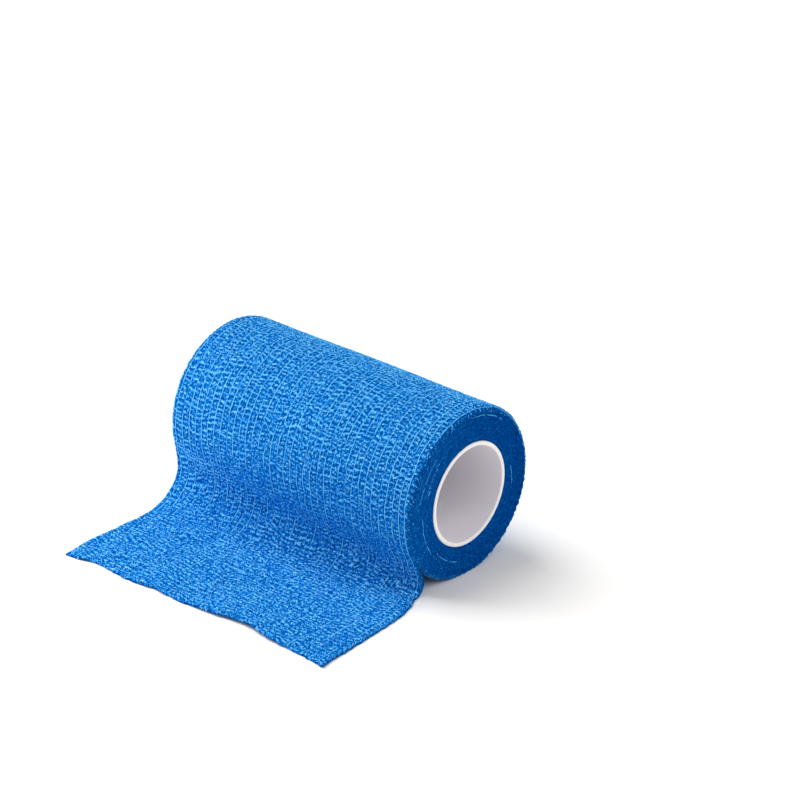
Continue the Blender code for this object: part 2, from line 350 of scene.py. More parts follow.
class LayerSettings(bpy.types.PropertyGroup):
    """The edges of the wound layers."""

    pitch: length_value("Layer pitch", "Between the edges of two layers", 0.41 * MM)
    groove: length_value("Groove", "Depth between two edges", 0.16 * MM)
    uneven: length_value("Uneven", "How far edges stand in or out of line", 0.3 * MM)
    # The layer edges are coloured darker than the cloth, partly as painted shade of the layers shading
    # one another, and the grooves darker still, as painted shade between the edges.
    groove_shade_colour: colour_value("Groove colour", "Blue between the edges", (0.0, 0.034, 0.19))
    edge_colour: colour_value("Edge colour", "Blue of the edges", (0.0, 0.090, 0.385))
    fleck_colour: colour_value("Fleck colour", "Blue of the palest fibres", (0.015, 0.23, 0.70))


class TubeSettings(bpy.types.PropertyGroup):
    """The plastic tube."""

    edge_round: length_value("Edge rounding", "Radius of the tube's edges", 0.4 * MM)
    colour: colour_value("Tube colour", "White of the plastic", (0.86, 0.83, 0.88))
    # Painted light: the tube's ends are coloured whiter than its wall, standing in for the light they
    # catch.
    end_light_colour: colour_value("End colour", "White of the tube's cut ends", (0.97, 0.94, 0.93))
    roughness: share_value("Roughness", "Dullness of the plastic", 0.38)


class StageSettings(bpy.types.PropertyGroup):
    """The floor and the light."""

    floor_size: length_value("Floor size", "Side of the floor", 80.0)
    floor_colour: colour_value("Floor colour", "Pale floor", (0.955, 0.945, 0.925))
    sky: share_value("Sky", "Strength of the even light", 0.32, 10.0)
    key: share_value("Key", "Strength of the main light", 2.34, 100.0)
    side: share_value("Side", "Strength of the near light on the left", 0.54, 100.0)
    fill: share_value("Fill", "Strength of the weak light on the right", 0.98, 100.0)
    key_spread: bpy.props.FloatProperty(
        name="Key spread", description="How wide the main light looks", subtype="ANGLE",
        default=math.radians(48.0),
    )
    side_size: length_value("Side size", "Width of the near light", 0.1)
    lens: bpy.props.FloatProperty(
        name="Lens", description="Camera's focal length in millimetres", default=110.1
    )


# ------------------------------------------------------------------ numbers

def ease(amount):
    """Go from 0 to 1 with level ends: three squares less two cubes."""
    amount = np.clip(amount, 0.0, 1.0)
    return amount * amount * (3.0 - 2.0 * amount)


def mix(first, second, share):
    """Go from one value to another by a share of the way."""
    return first + (second - first) * share


def bell(distance, half):
    """Give a bell curve: e to the power of minus the square of distance over half."""
    return np.exp(-(distance / half) ** 2)


def read_table(rows, column, places):
    """Read one column at places in the table's first column, on a smooth curve.

    Between two rows it is the cubic through both, whose slope at a row is the slope
    between that row's neighbours."""
    marks = np.array([row[0] for row in rows])
    values = np.array([getattr(row, column) for row in rows])
    after = np.minimum(np.arange(len(rows)) + 1, len(rows) - 1)
    before = np.maximum(np.arange(len(rows)) - 1, 0)
    slopes = (values[after] - values[before]) / (marks[after] - marks[before])
    places = np.clip(places, marks[0], marks[-1])
    low = np.searchsorted(marks[1:-1], places)
    span = marks[low + 1] - marks[low]
    share = (places - marks[low]) / span
    found = mix(values[low], values[low + 1], ease(share))
    found += slopes[low] * span * share * (1.0 - share) ** 2
    return found - slopes[low + 1] * span * share * share * (1.0 - share)


@lru_cache(maxsize=None)
def dice_table(seed):
    """Throw a square of random values from 0 to 1."""
    return np.random.default_rng(seed).random((GRAIN, GRAIN))


def dice(seed, first, second):
    """Give each pair of whole numbers its own random value from 0 to 1."""
    return dice_table(seed)[first % GRAIN, second % GRAIN]


def between_corners(value_at, first, second):
    """Ease a value between the four pairs of whole numbers round each place."""
    low_first = np.floor(first).astype(int)
    low_second = np.floor(second).astype(int)
    first_share = ease(first - low_first)
    low, high = (
        mix(value_at(low_first, row), value_at(low_first + 1, row), first_share)
        for row in (low_second, low_second + 1)
    )
    return mix(low, high, ease(second - low_second))


def soft_noise(noise, along, across):
    """Give noise up to its amount either way: dice on whole numbers, eased between them."""
    thrown = partial(dice, noise.seed)
    value = between_corners(thrown, along / noise.along, across / noise.across)
    return noise.amount * (2.0 * value - 1.0)


def gradient_noise(noise, along, across):
    """Give even-grained noise, mostly within its amount, which is 0 on whole numbers.

    Each pair of whole numbers has its own random direction. Each corner gives the distance
    from it along its direction, and the value is one and a half times those, eased between
    four corners."""
    first = along / noise.along
    second = across / noise.across

    def distance(first_corner, second_corner):
        turn = math.tau * dice(noise.seed, first_corner, second_corner)
        return np.cos(turn) * (first - first_corner) + np.sin(turn) * (second - second_corner)

    return noise.amount * 1.5 * between_corners(distance, first, second)


def unit(arrows):
    """Scale arrows to length 1."""
    return arrows / np.linalg.norm(arrows, axis=-1, keepdims=True)


# ------------------------------------------------------------------ the cloth's path

def rim_section(girth):
    """Give x and inset against the length round the cloth's section, 0 at mid-width.

    The section is straight but for a quarter circle at each rim, where x is the straight
    half plus the radius times the turn's sine, and inset the radius less its cosine. Then x
    is scaled so that it ends at the cloth's edge."""
    rim = np.where(girth > 0.0, NEAR_RIM, FAR_RIM)
    straight = GIRTH_HALF - 0.5 * math.pi * rim
    turn = np.clip((np.abs(girth) - straight) / rim, 0.0, 0.5 * math.pi)
    x = np.minimum(np.abs(girth), straight) + rim * np.sin(turn)
    x *= 0.5 * CLOTH_WIDTH / (straight + rim)
    return np.sign(girth) * x, rim * (1.0 - np.cos(turn))


def sagged_radius(radians):
    """Give the roll's radius at an angle, with its sag and its slump."""
    slump = np.clip(np.cos(radians - math.radians(BULGE_ANGLE)), 0.0, None) ** 2
    return ROLL_RADIUS + OVAL * np.cos(2.0 * radians) + BULGE * slump


def round_axis(radius, radians):
    """Give y and z at a distance from the roll's axis and an angle round it."""
    return -radius * np.cos(radians), AXIS_HEIGHT - radius * np.sin(radians)


def round_points(x, radius, radians):
    """Give points at x, at a distance from the roll's axis and an angle round it."""
    return np.stack(np.broadcast_arrays(x, *round_axis(radius, radians)), axis=-1)


def wound_place(angle, peel_angle, x, inset):
    """Give y and z of the outer turn, which grows by one layer on its way round.

    The radius is the roll's, plus the layer's growth and the waves, and less the inset. No
    point is under the surface."""
    turned = (angle - peel_angle) / 360.0
    radians = np.radians(angle)
    shade_share = ease(turned / WAVES_FADE) * ease((1.0 - turned) / WAVES_FADE)
    wave = np.cos(WAVES_ROUND * radians + math.tau * WAVES_ALONG * x / CLOTH_WIDTH)
    radius = sagged_radius(radians) + LAYER * (turned - 0.5) + WAVE * shade_share * wave - inset
    y, z = round_axis(radius, radians)
    return y, np.maximum(z, 0.0)


def sweep_place(share, peel, start, inset):
    """Give y and z where the cloth sweeps from the roll to the surface, on a Bezier curve.

    The curve leaves along the roll's direction at the peel line and lands along the
    surface. The place is the share of the way between corners, taken three times over, and
    the last two give its direction. The rims' inset fades out over the first half."""
    angle, drop, reach, touch = peel
    leaving = np.radians(angle)
    corners = [
        np.stack(start),
        np.stack((start[0] + np.sin(leaving) * drop, start[1] - np.cos(leaving) * drop)),
        np.stack((reach - touch, np.full_like(touch, SHEET))),
        np.stack((-touch, np.full_like(touch, SHEET))),
    ]
    while len(corners) > 2:
        corners = [mix(before, after, share) for before, after in zip(corners, corners[1:])]
    along = corners[1] - corners[0]
    inward = np.stack((-along[1], along[0])) / np.linalg.norm(along, axis=0)
    return mix(*corners, share) + inward * inset * (1.0 - ease(2.0 * share))


def part_done(start, steps):
    """Give how far each row of the strip is through a stretch of rows, from 0 to 1."""
    return np.clip((np.arange(STRIP_STEPS + 1)[:, None] - start) / steps, 0.0, 1.0)


def lay_strip(girth):
    """Place the cloth's outer skin: once round the roll from under the loose end, then out.

    girth has one column for each line along the cloth, and one row or all the strip's. The
    side edges come to lie as their table says in the first third of the sweep."""
    girth = np.broadcast_to(girth, (STRIP_STEPS + 1, np.shape(girth)[-1]))
    sweep = part_done(WOUND_STEPS, SWEEP_STEPS)
    floor = part_done(WOUND_STEPS + SWEEP_STEPS, FLOOR_STEPS)
    x, inset = rim_section(girth)
    across = 0.5 - x / CLOTH_WIDTH
    peel = [read_table(PEEL_ROWS, column, across) for column in Peel._fields[1:]]
    behind = mix(peel[0], SPLIT_ANGLE, part_done(0, BACK_STEPS))
    angle = mix(behind, 360.0 + peel[0], part_done(BACK_STEPS, FRONT_STEPS))
    y, z = wound_place(angle, peel[0], x, inset)
    leaving = wound_place(360.0 + peel[0], peel[0], x, 0.0)
    sweep_y, sweep_z = sweep_place(sweep, peel, leaving, inset)
    cut_out = read_table(CUT_ROWS, "out", across)
    out = mix(peel[3], cut_out, floor)
    lift = read_table(CUT_ROWS, "lift", across) * ease(1.0 - (cut_out - out) / LIFT_LENGTH)
    y = np.where(sweep > 0.0, np.where(floor > 0.0, -out, sweep_y), y)
    z = np.where(sweep > 0.0, np.where(floor > 0.0, lift + SHEET, sweep_z), z)
    side = mix(read_table(SIDE_ROWS, "near", -y), read_table(SIDE_ROWS, "far", -y), across)
    return np.stack((mix(x, side, ease(3.0 * sweep)), y, z), axis=-1)


def loosened():
    """Give each row's share of the way from wound tight to lying loose."""
    return ease(part_done(WOUND_STEPS, SWEEP_STEPS))


def lengths_along(points):
    """Measure along each line of the cloth, from the line where the outer turn is split."""
    steps = np.linalg.norm(np.diff(points, axis=0), axis=-1)
    along = np.vstack((np.zeros((1, points.shape[1])), np.cumsum(steps, axis=0)))
    return along - along[BACK_STEPS]


Strip = namedtuple("Strip", "skin outward along girth")


@lru_cache(maxsize=1)
def cloth_strip():
    """Lay the whole cloth as a fine grid, with its outward directions and its lengths."""
    girth = np.linspace(GIRTH_HALF, -GIRTH_HALF, ACROSS_STEPS + 1)[None, :]
    skin = lay_strip(girth)
    outward = unit(np.cross(np.gradient(skin, axis=1), np.gradient(skin, axis=0)))
    along = lengths_along(skin)
    return Strip(skin, outward, along, np.broadcast_to(girth, along.shape))


# ------------------------------------------------------------------ the crinkle

def from_edge(width):
    """Give how far in from the nearest edge of the cloth a place is."""
    return np.minimum(width, 2.0 * GIRTH_HALF - width)


def thread_wander(along, width, cloth):
    """Give how far the threads and their lanes wander sideways at a place in the cloth.

    To slow noise it adds a long sine along the cloth, which fades out at the edges, and at
    the near edge a bell curve of the length along it."""
    inside = ease(from_edge(width) / EDGE_ZONE)
    drift = -cloth.drift * np.sin(math.tau * (along - DRIFT_MIDDLE) / DRIFT_LENGTH) * inside
    drift += INWARD * bell(along - INWARD_MIDDLE, INWARD_HALF) * ease(1.0 - width / EDGE_ZONE)
    return drift + cloth.wander * soft_noise(WANDER, along, width)


def untidy(along, width):
    """Give how crumpled the cloth is, 0 to 1: slow noise, which fades at the selvedges."""
    patches = ease(0.5 - soft_noise(UNTIDY, along, width))
    return patches * ease(UNTIDY_EDGE + from_edge(width) / UNTIDY_ZONE)


def crinkle(along, width, cloth):
    """Give the cloth's relief, 0 in a pocket and 1 on a crest.

    Between two threads lies a lane of crosswise crests. A crest is a bell curve of the
    distance from its middle line. It has its own size and lean, gradient noise breaks it
    into beads and bends it, and it sinks at the threads with the root of 4 v (1 - v), with v
    the share of the way across the lane. The pockets between crests are deepest beside the
    threads. Gradient noise of crumple size covers all, more so where the cloth is untidy."""
    lane_place = width + gradient_noise(BEND_ACROSS, along, width) - cloth.selvedge
    lane_place = (lane_place - thread_wander(along, width, cloth)) / cloth.thread_pitch
    lane = np.floor(lane_place).astype(int)
    between = lane_place - lane
    count = (along + gradient_noise(BEND_ALONG, along, width)) / cloth.crest_pitch
    count += LANE_SHIFT * dice(LANE_SEED, lane, lane + LANE_DIAGONAL)
    count += soft_noise(SPACING, along, width) + soft_noise(LANE_SPACING, along, lane)
    count += soft_noise(LEAN, along, lane) * (between - 0.5)
    crest = np.floor(count + 0.5).astype(int)
    rounded = bell((count - crest) * cloth.crest_pitch, cloth.crest_width)
    inside = 4.0 * between * (1.0 - between)
    size = mix(SMALL_CREST, 1.0, dice(CREST_SEED, crest, lane))
    size = size * mix(THREAD_CREST, 1.0, np.sqrt(inside))
    size *= BEAD_MEAN + gradient_noise(BEADS, along, width)
    mess = untidy(along, width)
    ground, crumple, crests = (
        mix(tidy, messy, mess) for tidy, messy in zip(TIDY_RELIEF, UNTIDY_RELIEF)
    )
    height = ground + crumple * gradient_noise(CRUMPLE, along, width)
    height += crests * rounded * size - THREAD_PIT * (1.0 - inside) * (1.0 - rounded)
    return np.clip(height, 0.0, 1.0)


def painted_shade(along, width):
    """Give how much shade is painted on the cloth: a bell curve where it leaves the roll.

    It falls faster past its middle, and fades out towards the far edge. The near rim gets as much
    painted shade under the roll."""
    half = np.where(along > VALLEY_SHADE_MIDDLE, VALLEY_SHADE_PAST, VALLEY_SHADE_HALF)
    in_valley = bell(along - VALLEY_SHADE_MIDDLE, half) * ease((VALLEY_SHADE_EDGE - width) / VALLEY_SHADE_FADE)
    rim = ease(1.0 - width / RIM_SHADE_WIDTH) * ease((RIM_SHADE_START - along) / RIM_SHADE_FADE)
    return np.maximum(in_valley, rim)


def border_fade(shape, reach):
    """Give 1 on a grid's two side columns and its last row, falling to 0 some steps in."""
    rows, columns = np.indices(shape)
    nearest = np.minimum(np.minimum(columns, shape[1] - 1 - columns), shape[0] - 1 - rows)
    return 1.0 - ease(nearest / reach)


# ------------------------------------------------------------------ meshes

def number_points(points, start=0):
    """Number a grid's points in order."""
    return start + np.arange(points[..., 0].size).reshape(points.shape[:-1])


def grid_faces(numbers):
    """List a grid's faces, which face across-the-columns crossed with along-the-rows."""
    corners = (numbers[:-1, :-1], numbers[:-1, 1:], numbers[1:, 1:], numbers[1:, :-1])
    return np.stack(corners, axis=-1).reshape(-1, 4)


def border(numbers):
    """List a grid's border in order, once round and back to its first point."""
    sides = (numbers[:-1, 0], numbers[-1, :-1], numbers[:0:-1, -1], numbers[0, :0:-1])
    return np.append(np.concatenate(sides), numbers[0, 0])


def wall_faces(fine, coarse, ratio):
    """Join a fine border to a coarse one, with one face for each of the coarse steps."""
    picked = np.arange(len(coarse) - 1)[:, None] * ratio + np.arange(ratio + 1)
    return np.hstack((fine[picked], coarse[1:, None], coarse[:-1, None]))


def make_mesh(name, points, face_sets, smooth):
    """Make a mesh from its points and sets of like faces, each set smooth or flat."""
    mesh = bpy.data.meshes.new(name)
    corners = np.concatenate([faces.ravel() for faces in face_sets]).astype(np.int32)
    totals = np.concatenate([np.full(len(faces), faces.shape[1]) for faces in face_sets])
    starts = np.concatenate(([0], np.cumsum(totals)[:-1])).astype(np.int32)
    flat = np.repeat(np.logical_not(smooth), [len(faces) for faces in face_sets])
    mesh.vertices.add(len(points))
    mesh.vertices.foreach_set("co", np.ascontiguousarray(points, np.float32).ravel())
    mesh.loops.add(len(corners))
    mesh.loops.foreach_set("vertex_index", corners)
    mesh.polygons.add(len(totals))
    mesh.polygons.foreach_set("loop_start", starts)
    mesh.update(calc_edges=True)
    mesh.shade_smooth()
    sharp = mesh.attributes.new("sharp_face", "BOOLEAN", "FACE")
    sharp.data.foreach_set("value", flat)
    if mesh.validate():
        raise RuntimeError(f"{name} has faces that don't hold together")
    return mesh


def mark_points(mesh, name, values):
    """Give a mesh's points a value each."""
    mark = mesh.attributes.new(name, "FLOAT", "POINT")
    mark.data.foreach_set("value", values.astype(np.float32).ravel())


def mark_cloth(mesh, width, along, tone, grain):
    """Give a mesh its cloth map, with u across and v along in metres, its tone and grain."""
    corners = np.empty(len(mesh.loops), np.int32)
    mesh.loops.foreach_get("vertex_index", corners)
    places = np.stack((width.ravel(), along.ravel()), axis=-1)[corners]
    mesh.uv_layers.new(name="cloth").data.foreach_set("uv", places.astype(np.float32).ravel())
    mark_points(mesh, "tone", tone)
    mark_points(mesh, "grain", grain)


def add_object(name, data):
    """Put a mesh, a light or a camera in the scene as an object."""
    made = bpy.data.objects.new(name, data)
    bpy.context.scene.collection.objects.link(made)
    return made


def add_piece(name, mesh, material, replaced=()):
    """Put a finished mesh in the scene as a piece that rides on the part's one body."""
    piece = add_object(name, mesh)
    mesh.materials.append(material)
    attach(piece, "root")
    if replaced:
        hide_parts(*replaced)
    return piece


def shell(name, outer, inner, marks, ratio):
    """Close a fine outer grid with a coarse inner one and a wall between their borders.

    The marks are the outer grid's width, along, tone and grain. The inner one is darker."""
    coarse = inner[::ratio, ::ratio]
    numbers = number_points(outer)
    inner_numbers = number_points(coarse, numbers.size)
    face_sets = (
        grid_faces(numbers),
        grid_faces(inner_numbers)[:, ::-1],
        wall_faces(border(numbers), border(inner_numbers), ratio),
    )
    points = np.concatenate((outer.reshape(-1, 3), coarse.reshape(-1, 3)))
    mesh = make_mesh(name, points, face_sets, (True, True, False))
    shades = (0.0, 0.0, INNER_SHADE, 0.0)
    mark_cloth(mesh, *(
        np.concatenate((mark.ravel(), (mark[::ratio, ::ratio] - shade).ravel()))
        for mark, shade in zip(marks, shades)
    ))
    return mesh


def above_surface(points):
    """Keep points from going under the surface that the roll lies on."""
    return np.concatenate((points[..., :2], np.maximum(points[..., 2:], 0.0)), axis=-1)


def crinkled(rows, cloth):
    """Give a stretch of the strip its relief: the grid's points, and their marks.

    The wound rims' relief is pressed down, and less so behind the roll's top, which also darkens them
    as painted shade. The tone is the relief, and where shade is painted it goes some of the way to the
    deeper shade tone, and the grain fades as much."""
    strip = cloth_strip()
    along, width = strip.along[rows], GIRTH_HALF - strip.girth[rows]
    loose = loosened()[rows]
    # Painted shade at the wound rims: lowering the relief also darkens the tone there.
    press_shade = EDGE_PRESS_SHADE * ease(1.0 - from_edge(width) / EDGE_REACH) * (1.0 - loose)
    press_shade *= mix(BACK_PRESS_SHADE, 1.0, ease(along / PRESS_SHADE_START + 0.5))
    relief = np.clip(crinkle(along, width, cloth) - press_shade, 0.0, 1.0)
    rise = relief * cloth.crest_height - mix(SINK_WOUND, SINK_LOOSE, loose)
    # Painted shade in the valley and under the near rim: the tone goes towards the deeper shade tone
    # and the grain fades.
    shade_share = VALLEY_SHADE_STRENGTH * painted_shade(along, width)
    marks = width, along, mix(relief, SHADE_TONE, shade_share), 1.0 - shade_share
    return above_surface(strip.skin[rows] + strip.outward[rows] * rise[..., None]), marks


def tube_faces(numbers):
    """List the faces of many capped tubes, numbered by tube, ring and side."""
    first, second = numbers[:, :-1], numbers[:, 1:]
    corners = (first, np.roll(first, -1, axis=2), np.roll(second, -1, axis=2), second)
    walls = np.stack(corners, axis=-1).reshape(-1, 4)
    return walls, numbers[:, 0, ::-1], numbers[:, -1]


# ------------------------------------------------------------------ materials

def new_material(name, colour, roughness, gloss=0.0):
    """Start a material: its shader, with plain colour, roughness and gloss, and its nodes."""
    material = bpy.data.materials.new(name)
    material.use_nodes = True
    material.diffuse_color = (*colour, 1.0)
    shader = material.node_tree.nodes["Principled BSDF"]
    shader.inputs["Base Color"].default_value = (*colour, 1.0)
    shader.inputs["Roughness"].default_value = roughness
    shader.inputs["Specular IOR Level"].default_value = gloss
    return material, material.node_tree, shader


def add_noise(tree, vector, grain, detail):
    """Add noise of a given grain size, read from a place."""
    noise = tree.nodes.new("ShaderNodeTexNoise")
    noise.inputs["Scale"].default_value = 1.0 / grain
    noise.inputs["Detail"].default_value = detail
    tree.links.new(vector, noise.inputs["Vector"])
    return noise.outputs["Fac"]


def add_math(tree, operation, *terms):
    """Work out a sum or a product of values and plain numbers."""
    step = tree.nodes.new("ShaderNodeMath")
    step.operation = operation
    for socket, term in zip(step.inputs, terms):
        if isinstance(term, float):
            socket.default_value = term
        else:
            tree.links.new(term, socket)
    return step.outputs[0]


def add_sum(tree, first, second, weight, share=1.0):
    """Add a weighted value, centred on a half, to another, or only a share of it."""
    centred = add_math(tree, "MULTIPLY_ADD", second, weight, -0.5 * weight)
    return add_math(tree, "MULTIPLY_ADD", centred, share, first)


def add_colours(tree, shader, value, stops):
    """Colour a shader by a value, through stops of place and colour."""
    ramp = tree.nodes.new("ShaderNodeValToRGB")
    elements = ramp.color_ramp.elements
    while len(elements) < len(stops):
        elements.new(0.5)
    for element, (place, colour) in zip(elements, stops):
        element.position = place
        element.color = (*colour, 1.0)
    tree.links.new(value, ramp.inputs["Fac"])
    tree.links.new(ramp.outputs["Color"], shader.inputs["Base Color"])


def add_bump(tree, shader, height, distance, strength):
    """Bump a shader by a height."""
    bump = tree.nodes.new("ShaderNodeBump")
    bump.inputs["Distance"].default_value = distance
    bump.inputs["Strength"].default_value = strength
    tree.links.new(height, bump.inputs["Height"])
    tree.links.new(bump.outputs["Normal"], shader.inputs["Normal"])


def object_place(tree):
    """Read the place on the object, in metres."""
    return tree.nodes.new("ShaderNodeTexCoord").outputs["Object"]


def cloth_map(tree):
    """Read the cloth map, across and along in metres."""
    node = tree.nodes.new("ShaderNodeUVMap")
    node.uv_map = "cloth"
    return node.outputs["UV"]


def read_mark(tree, name):
    """Read a value that the mesh's points carry."""
    node = tree.nodes.new("ShaderNodeAttribute")
    node.attribute_name = name
    return node.outputs["Fac"]


@lru_cache(maxsize=None)
def cloth_material():
    """Make the cloth: pale crests over deep blue pockets, with a fine fibrous grain. The pale crests
    are partly a painted highlight and the deep pockets partly painted shade.
    """
    cloth = bpy.context.scene.bandage_cloth
    material, tree, shader = new_material("crinkled_cloth", cloth.middle, cloth.roughness)
    fibres = add_noise(tree, cloth_map(tree), grain=0.38 * MM, detail=1.5)
    share = read_mark(tree, "grain")
    tone = add_sum(tree, read_mark(tree, "tone"), fibres, weight=2.6, share=share)
    stops = ((0.0, cloth.pocket), (0.45, cloth.middle), (0.78, cloth.slope), (1.0, cloth.crest))
    add_colours(tree, shader, tone, stops)
    add_bump(tree, shader, fibres, distance=0.3 * MM, strength=1.0)
    shader.inputs["Sheen Weight"].default_value = cloth.fuzz
    shader.inputs["Sheen Roughness"].default_value = 0.35
    shader.inputs["Sheen Tint"].default_value = (*cloth.fuzz_colour, 1.0)
    return material


@lru_cache(maxsize=None)
def thread_material():
    """Make the pale elastic threads and fibres, which are deeper blue in patches."""
    threads = bpy.context.scene.bandage_threads
    material, tree, shader = new_material("elastic_thread", threads.colour, 0.8)
    patches = add_noise(tree, object_place(tree), grain=1.3 * MM, detail=1.0)
    add_colours(tree, shader, patches, ((0.35, threads.deep_colour), (0.6, threads.colour)))
    return material


@lru_cache(maxsize=None)
def layer_material():
    """Make the layer edges: blue ridges with grooves painted darker between them as shade, the whole
    partly painted darker than the cloth as the layers' shade on one another.
    """
    layers = bpy.context.scene.bandage_layers
    material, tree, shader = new_material("layer_edges", layers.edge_colour, 0.9)
    fibres = add_noise(tree, object_place(tree), grain=0.42 * MM, detail=1.0)
    tone = add_sum(tree, read_mark(tree, "tone"), fibres, weight=1.3)
    stops = ((0.1, layers.groove_shade_colour), (0.6, layers.edge_colour), (1.0, layers.fleck_colour))
    add_colours(tree, shader, tone, stops)
    add_bump(tree, shader, fibres, distance=0.15 * MM, strength=0.8)
    return material


def tube_material(settings):
    """Make smooth moulded plastic, with ends painted whiter as painted light, and faint draw marks.

    The marks are noise that is stretched twenty times along the tube."""
    material, tree, shader = new_material(
        "white_plastic", settings.colour, settings.roughness, gloss=0.4
    )
    place = object_place(tree)
    parts = tree.nodes.new("ShaderNodeSeparateXYZ")
    tree.links.new(place, parts.inputs[0])
    at_end = tree.nodes.new("ShaderNodeMapRange")
    at_end.inputs["From Min"].default_value = 0.5 * CLOTH_WIDTH - settings.edge_round
    at_end.inputs["From Max"].default_value = 0.5 * CLOTH_WIDTH - 0.5 * settings.edge_round
    tree.links.new(add_math(tree, "ABSOLUTE", parts.outputs["X"]), at_end.inputs["Value"])
    # Painted light: the ends go whiter than the wall, for the light they catch.
    stops = ((0.0, settings.colour), (1.0, settings.end_light_colour))
    add_colours(tree, shader, at_end.outputs["Result"], stops)
    stretch = tree.nodes.new("ShaderNodeMapping")
    stretch.inputs["Scale"].default_value = (0.05, 1.0, 1.0)
    tree.links.new(place, stretch.inputs["Vector"])
    marks = add_noise(tree, stretch.outputs["Vector"], grain=2.0 * MM, detail=1.0)
    add_bump(tree, shader, marks, distance=0.01 * MM, strength=0.1)
    return material


# ------------------------------------------------------------------ pieces

def outer_turn_piece(name, rows, cloth):
    """Make one stretch of the outer turn as a closed shell under its crinkle."""
    strip = cloth_strip()
    outer, marks = crinkled(rows, cloth)
    inner = strip.skin[rows] - strip.outward[rows] * (SINK_WOUND + SHELL_DEPTH)
    mesh = shell(name, outer, above_surface(inner), marks, SHELL_RATIO)
    return add_piece(name, mesh, cloth_material(), ("bandage",))


def loose_end_piece(cloth):
    """Make the loose end: a crinkled upper side, a lower side, and a cut, frayed edge."""
    strip = cloth_strip()
    rows = slice(WOUND_STEPS, None)
    outer, marks = crinkled(rows, cloth)
    width, along = marks[:2]
    loose = loosened()[rows]
    inner = strip.skin[rows] - strip.outward[rows] * mix(LAYER, SHEET, loose)[..., None]
    edge = border_fade(width.shape, FRAY_STEPS) * loose
    outer[..., 2] -= FRAY_DROP * edge
    for axis, noise in enumerate((FRAY_ACROSS, FRAY_ALONG)):
        shift = edge * soft_noise(noise, along, width)
        outer[..., axis] += shift
        inner[..., axis] += shift
    mesh = shell("loose_end", outer, above_surface(inner), marks, SHEET_RATIO)
    return add_piece("loose_end", mesh, cloth_material(), ("bandage",))


def ring_radius(radians, share, rim):
    """Give the radius of the wound layers: from the tube's outside to under the rim.

    Low down, the outermost is held above the surface that the roll lies on."""
    above_floor = AXIS_HEIGHT / np.maximum(np.sin(radians), 0.5)
    outside = np.minimum(sagged_radius(radians), above_floor) - rim + RING_TUCK
    return mix(TUBE_RADIUS + RING_GAP, outside, share)


def fibre_piece(name, centres, lateral, outward, thickness, sides):
    """Carry an oval section along many lines at once, as one piece of thin capped tubes.

    Each ring's points are its centre plus half the thickness times the cosine sideways and
    the flattened sine outwards."""
    turns = math.tau * np.arange(sides) / sides
    offsets = np.cos(turns)[:, None] * lateral[:, :, None]
    offsets += FIBRE_FLAT * np.sin(turns)[:, None] * outward[:, :, None]
    points = centres[:, :, None] + 0.5 * thickness * offsets
    face_sets = tube_faces(number_points(points))
    mesh = make_mesh(name, above_surface(points.reshape(-1, 3)), face_sets, (False, False, False))
    return add_piece(name, mesh, thread_material())


def end_thread_piece(threads):
    """Lay the threads that show among the layers' edges in the near end, as flat arcs."""
    share = np.linspace(0.0, 1.0, ARC_STEPS + 1)[None, :]
    start, end, first, last = (np.array(column)[:, None] for column in zip(*END_ARCS))
    radians = np.radians(mix(start, end, share))
    arc = np.arange(len(END_ARCS))[:, None]
    radius = mix(first, last, share) + soft_noise(ARC_WOBBLE, share, arc)
    level = 0.5 * CLOTH_WIDTH - ARC_DEPTH + soft_noise(ARC_RISE, share, arc)
    centres = round_points(level, radius, radians)
    still = np.zeros_like(radians)
    lateral = np.stack((still, np.cos(radians), np.sin(radians)), axis=-1)
    outward = np.broadcast_to((1.0, 0.0, 0.0), lateral.shape)
    thickness = ARC_THIN * threads.thickness
    return fibre_piece("end_threads", centres, lateral, outward, thickness, THREAD_SIDES)


def layer_ring_piece(name, side, layers):
    """Make one end of the roll, where the layers' edges show as one long spiral ridge.

    The turns wound so far are the radius over the layers' pitch less the angle's share of a
    turn. The ridge is a rounded crest of their fraction. It stands in or out by noise along
    the spiral and fine fuzz, and its tone is a weighted sum of the three."""
    angle = (360.0 * np.arange(RING_STEPS) / RING_STEPS)[:, None]
    radians = np.radians(angle)
    share = np.linspace(0.0, 1.0, RING_ROWS + 1)[None, :]
    radius = ring_radius(radians, share, NEAR_RIM if side > 0.0 else FAR_RIM)
    turns = (radius - TUBE_RADIUS) / layers.pitch - angle / 360.0
    spiral = np.floor(turns) + angle / 360.0
    ridge = np.abs(np.sin(math.pi * turns)) ** RIDGE_ROUND
    slow, quick, fine = (
        noise._replace(seed=noise.seed + (0 if side > 0.0 else FAR_SEEDS))
        for noise in (LAYER_SLOW, LAYER_QUICK, LAYER_FUZZ)
    )
    place = soft_noise(slow, spiral, 0.5) + soft_noise(quick, spiral, 0.5)
    fuzz = gradient_noise(fine, radians * radius, radius)
    # The ridge's weight paints the grooves between the edges darker, as painted shade.
    tone = sum(weight * part for weight, part in zip(LAYER_TONES, (1.0, ridge, place, fuzz)))
    # Painted light: the outer layers are paler towards -Y, the side that the light falls on.
    tone = np.clip(tone + FRONT_LIGHT_TONE * share * np.cos(radians), 0.0, 1.0)
    uneven = LAYER_RISES[0] * place * ridge + LAYER_RISES[1] * fuzz - LAYER_SINK
    uneven += ease((share - OUTERMOST) / OUTERMOST_FADE)
    rise = layers.groove * (ridge - 1.0) + layers.uneven * uneven
    front = round_points(side * (0.5 * CLOTH_WIDTH + rise), radius, radians)
    back = front[::RING_RATIO, ::RING_ROWS].copy()
    back[..., 0] = side * (0.5 * CLOTH_WIDTH - RING_DEPTH)
    return ring_piece(name, above_surface(front), above_surface(back), tone, side)


